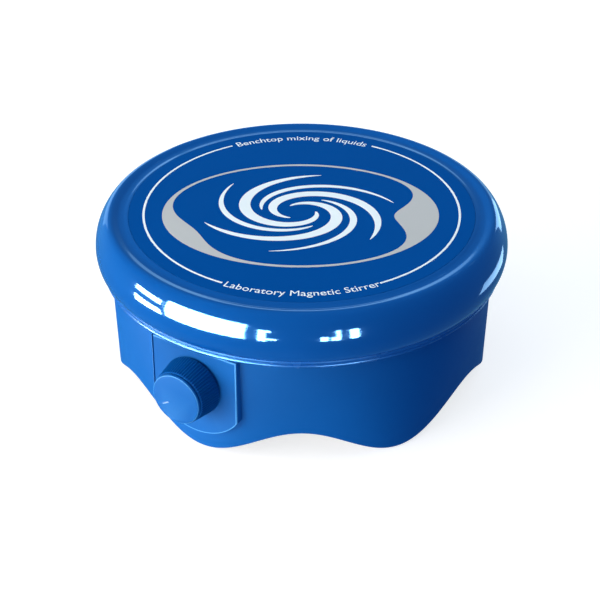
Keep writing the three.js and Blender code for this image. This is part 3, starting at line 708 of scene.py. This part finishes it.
JACK_BODY = [
    (0, 54.0), (3.15, 54.0), (3.15, 65.2), (3.35, 65.5), (3.6, 65.6), (6.5, 65.6), (6.85, 65.5),
    (7.0, 65.2), (7.0, 64.1), (5.5, 64.1), (5.5, 50.3), (5.2, 50.0), (0, 50.0),
]
JACK_PIN = [(0, 64.4), (0.5, 64.35), (0.85, 64.15), (1.0, 63.8), (1.0, 53.8), (0, 53.8)]
bm = bmesh.new()
lathe(bm, JACK_BODY, JACK_SEGMENTS, LOOK_BACK)
add_mesh("jack_body", bm, NYLON_BLACK, "housing", ("power_jack",), 40)
bm = bmesh.new()
lathe(bm, JACK_PIN, PIN_SEGMENTS, LOOK_BACK)
add_mesh("jack_pin", bm, NICKEL, "housing", (), 40)

# ---- printed artwork on the top disc -------------------------------------------------------------------
PRINT_LOW, PRINT_HIGH = LABEL_TOP - 0.02, LABEL_TOP + 0.03


def band(bm, left, right, closed=False):
    """A flat strip of ink with thickness between two matching edges, in millimetres."""
    rows = []
    for a, b in zip(left, right):
        corners = (*a, PRINT_HIGH), (*b, PRINT_HIGH), (*b, PRINT_LOW), (*a, PRINT_LOW)
        rows.append([bm.verts.new((x * MM, y * MM, z * MM)) for x, y, z in corners])
    count = len(rows)
    for i in range(count if closed else count - 1):
        a, b = rows[i], rows[(i + 1) % count]
        for k in range(4):
            j = (k + 1) % 4
            bm.faces.new((a[k], a[j], b[j], b[k]))
    if not closed:
        bm.faces.new(rows[0])
        bm.faces.new(list(reversed(rows[-1])))


def polar(radius, degrees):
    return radius * math.cos(math.radians(degrees)), radius * math.sin(math.radians(degrees))


# The ring is left open for the words at the front and at the back; its arcs are in degrees.
RING_RADIUS, RING_WIDTH = 52.2, 0.72
RING_ARCS = (-62.5, 61.5), (118.0, 242.0)
RING_STEPS = 90
bm = bmesh.new()
for start, end in RING_ARCS:
    angles = [start + (end - start) * k / RING_STEPS for k in range(RING_STEPS + 1)]
    edges = [[polar(RING_RADIUS + side * RING_WIDTH / 2, a) for a in angles] for side in (-1, 1)]
    band(bm, *edges)
add_mesh("print_ring", bm, PRINT_WHITE, "housing", ())


def arc_text(name, words, height, top):
    """Letters set along the ring: upright at the front, and at the back reading over the arc."""
    curve = bpy.data.curves.new(name, "FONT")
    curve.body = words
    curve.size = height * MM
    curve.align_x = "CENTER"
    curve.extrude = 0.5 * (PRINT_HIGH - PRINT_LOW) * MM
    curve.resolution_u = 3
    holder = bpy.data.objects.new(name + "_curve", curve)
    bpy.context.collection.objects.link(holder)
    bpy.context.view_layer.update()
    mesh = bpy.data.meshes.new_from_object(holder.evaluated_get(bpy.context.evaluated_depsgraph_get()))
    bpy.data.objects.remove(holder, do_unlink=True)
    half_letter = 0.34 * height
    for vertex in mesh.vertices:
        x, y = vertex.co.x / MM, vertex.co.y / MM - half_letter
        if top:
            px, py = polar(RING_RADIUS + y, 90 - math.degrees(x / RING_RADIUS))
        else:
            px, py = polar(RING_RADIUS - y, -90 + math.degrees(x / RING_RADIUS))
        vertex.co = Vector((px * MM, py * MM, vertex.co.z + 0.5 * (PRINT_LOW + PRINT_HIGH) * MM))
    mesh.name = name
    obj = bpy.data.objects.new(name, mesh)
    bpy.context.collection.objects.link(obj)
    mesh.materials.clear()
    dress(obj, PRINT_WHITE)
    finish_piece(obj, "housing", ())


arc_text("print_words_front", "Laboratory Magnetic Stirrer", 4.35, False)
arc_text("print_words_back", "Benchtop mixing of liquids", 4.5, True)

# A plain vortex: six tapering arms of one logarithmic spiral, thick and thin by turns. An arm is its
# first and last radius and its half width as a share of the radius.
ARMS = 6
THICK_ARM, THIN_ARM = (5.0, 28.5, 0.19), (11.0, 29.0, 0.075)
ARM_STEPS = 90
SPIRAL_GROWTH = 0.0061
SPIRAL_START = 25
STRETCH_X, STRETCH_Y = 1.12, 0.92
VORTEX_X, VORTEX_Y = -1.0, -1.5
bm = bmesh.new()
for arm in range(ARMS):
    r0, r1, width = THIN_ARM if arm % 2 else THICK_ARM
    left, right = [], []
    for k in range(ARM_STEPS + 1):
        t = k / ARM_STEPS
        radius = r0 * (r1 / r0) ** t
        angle = 360 / ARMS * arm - math.log(radius) / SPIRAL_GROWTH + SPIRAL_START
        swell = math.sin(math.pi * t ** 0.8) ** 0.7 if 0 < t < 1 else 0.0
        half = radius * width * swell * (1.0 - 0.45 * t) + 0.08
        for side, reach in ((left, radius + half), (right, radius - half)):
            x, y = polar(reach, angle)
            side.append((x * STRETCH_X + VORTEX_X, y * STRETCH_Y + VORTEX_Y))
    band(bm, left, right)
add_mesh("print_vortex", bm, PRINT_WHITE, "housing", ())

# A grey loop round it, thin at front and back and full at the sides.
LOOP_STEPS = 240
LOOP_HALF_X, LOOP_HALF_Y = 45.6, 34.5
LOOP_X, LOOP_Y = -0.4, -2.5
LOOP_LINE, RIGHT_LOBE, LEFT_LOBE = 1.1, 13.5, 7.0


def lobe(angle, middle, spread):
    """A bell curve round the loop, at full height at middle (radians) and spread degrees wide."""
    away = math.atan2(math.sin(angle - middle), math.cos(angle - middle))
    return math.exp(-(math.degrees(away) / spread) ** 2)


bm = bmesh.new()
outside, inside = [], []
for k in range(LOOP_STEPS):
    angle = 2 * math.pi * k / LOOP_STEPS
    ox, oy = LOOP_HALF_X * math.cos(angle) + LOOP_X, LOOP_HALF_Y * math.sin(angle) + LOOP_Y
    outside.append((ox, oy))
    trim = LOOP_LINE + RIGHT_LOBE * lobe(angle, -0.1, 24.0) + LEFT_LOBE * lobe(angle, 3.55, 26.0)
    length = math.hypot(ox, oy)
    inside.append((ox * (1 - trim / length), oy * (1 - trim / length)))
band(bm, inside, outside, closed=True)
add_mesh("print_loop", bm, PRINT_GREY, "housing", ())

# ---- stage and light -------------------------------------------------------------------------------------
bm = bmesh.new()
bmesh.ops.create_grid(bm, x_segments=1, y_segments=1, size=3.0)
floor_look = Look("studio_floor", (0.42, 0.42, 0.42), 0.75)
floor_look.shader.inputs["Emission Color"].default_value = (1.0, 1.0, 1.0, 1.0)
floor_look.shader.inputs["Emission Strength"].default_value = 0.74
floor_look.base(0.01, 3.0)
floor_look.gloss(0.04, 60.0)
floor = add_mesh("studio_floor", bm, floor_look.material, None)

floor.visible_diffuse = False
floor.visible_glossy = False
floor.visible_shadow = False

world = bpy.data.worlds.new("studio")
bpy.context.scene.world = world
world.use_nodes = True


def studio_sky(tree, ambient, left, back):
    """Even ambient light, brighter on the left and low down behind, as a white-walled studio would be."""
    def ramp(value, low, high, top):
        made = tree.nodes.new("ShaderNodeMapRange")
        made.interpolation_type = "SMOOTHSTEP"
        made.inputs["From Min"].default_value = low
        made.inputs["From Max"].default_value = high
        made.inputs["To Max"].default_value = top
        tree.links.new(value, made.inputs["Value"])
        return made.outputs["Result"]

    def maths(operation, a, b):
        made = tree.nodes.new("ShaderNodeMath")
        made.operation = operation
        for socket, value in zip(made.inputs, (a, b)):
            if isinstance(value, float):
                socket.default_value = value
            else:
                tree.links.new(value, socket)
        return made.outputs["Value"]

    axes = tree.nodes.new("ShaderNodeSeparateXYZ")
    tree.links.new(tree.nodes.new("ShaderNodeTexCoord").outputs["Generated"], axes.inputs["Vector"])
    x, y, z = (axes.outputs[name] for name in "XYZ")
    low_down = maths("SUBTRACT", 1.0, ramp(maths("ABSOLUTE", z, 0.0), 0.1, 0.5, 1.0))
    glow = maths("ADD", ramp(maths("MULTIPLY", x, -1.0), 0.3, 1.0, left), ramp(y, 0.5, 1.0, back))
    strength = maths("ADD", maths("MULTIPLY", glow, low_down), ambient)
    background = tree.nodes["Background"]
    background.inputs["Color"].default_value = (0.2, 0.6, 1.0, 1.0)
    tree.links.new(strength, background.inputs["Strength"])


studio_sky(world.node_tree, 0.42, 0.35, 0.5)

LIGHT_AIM = Vector((0, 0, 0.045))
WHITE = (1.0, 1.0, 1.0)
WARM = (1.0, 0.85, 0.694)
COOL = (0.5, 0.8, 1.0)
SOFTBOX = 80.0


def panel(name, azimuth, elevation, radiance, colour, distance):
    """A rectangular light that fills a window of directions; azimuth 0 is the front, + to the right."""
    mid_azimuth = math.radians(sum(azimuth) / 2)
    mid_elevation = math.radians(sum(elevation) / 2)
    data = bpy.data.lights.new(name, "AREA")
    data.shape = "RECTANGLE"
    data.size = 2 * distance * math.tan(math.radians(azimuth[1] - azimuth[0]) / 2)
    data.size_y = 2 * distance * math.tan(math.radians(elevation[1] - elevation[0]) / 2)
    data.energy = radiance * math.pi * data.size * data.size_y
    data.color = colour
    light = bpy.data.objects.new(name, data)
    bpy.context.collection.objects.link(light)
    offset = distance * Vector((
        math.sin(mid_azimuth) * math.cos(mid_elevation),
        -math.cos(mid_azimuth) * math.cos(mid_elevation),
        math.sin(mid_elevation),
    ))
    light.location = LIGHT_AIM + offset
    light.rotation_euler = (-offset).to_track_quat("-Z", "Y").to_euler()
    return light


def soft_light(name, azimuth, elevation, radiance, colour=WARM, distance=1.0):
    """Lights the surfaces and isn't reflected in them."""
    panel(name, azimuth, elevation, radiance, colour, distance).visible_glossy = False


def reflection(name, azimuth, elevation, radiance=SOFTBOX, colour=WHITE):
    """A window or a lamp that shows only as its reflection in the glossy cover."""
    panel(name, azimuth, elevation, radiance, colour, 1.0).visible_diffuse = False


soft_light("key_left", (-103, -38), (-5, 30), 9.2)
soft_light("overhead", (-45, 45), (60, 120), 1.05, distance=1.2)
soft_light("floor_bounce", (-90, -5), (-48, -28), 3.9, (1.0, 1.0, 0.88), 0.15)
reflection("strip_main", (-72, -28), (-14, 20))
reflection("strip_left_high", (-93, -75), (2, 10))
reflection("strip_left_low", (-93, -75), (-15, -6))
for number, (azimuth, elevation) in enumerate((
    ((-21.5, -17.6), (-13, 12)),
    ((-17.6, -15.4), (8, 12)),
    ((-17.6, -12.4), (-9, -5.5)),
    ((9.2, 12.8), (-10, 0)),
    ((14.5, 18.9), (-10, -1.5)),
    ((16.9, 18.9), (-1.5, 12)),
    ((23.6, 28), (-9, 11)),
)):
    reflection("glint_%d" % number, azimuth, elevation)
reflection("back_wall", (152, 190), (-6, 16), 0.8, COOL)
reflection("back_wall_left", (-168, -140), (-6, 18), 1.1, COOL)
reflection("right_streak", (138, 152), (-8, 16), 4.0, COOL)
reflection("low_streak", (108, 135), (-25, -15), 4.0, COOL)

# ---- update the view layer -------------------------------------------------------------------------------
bpy.context.view_layer.update()
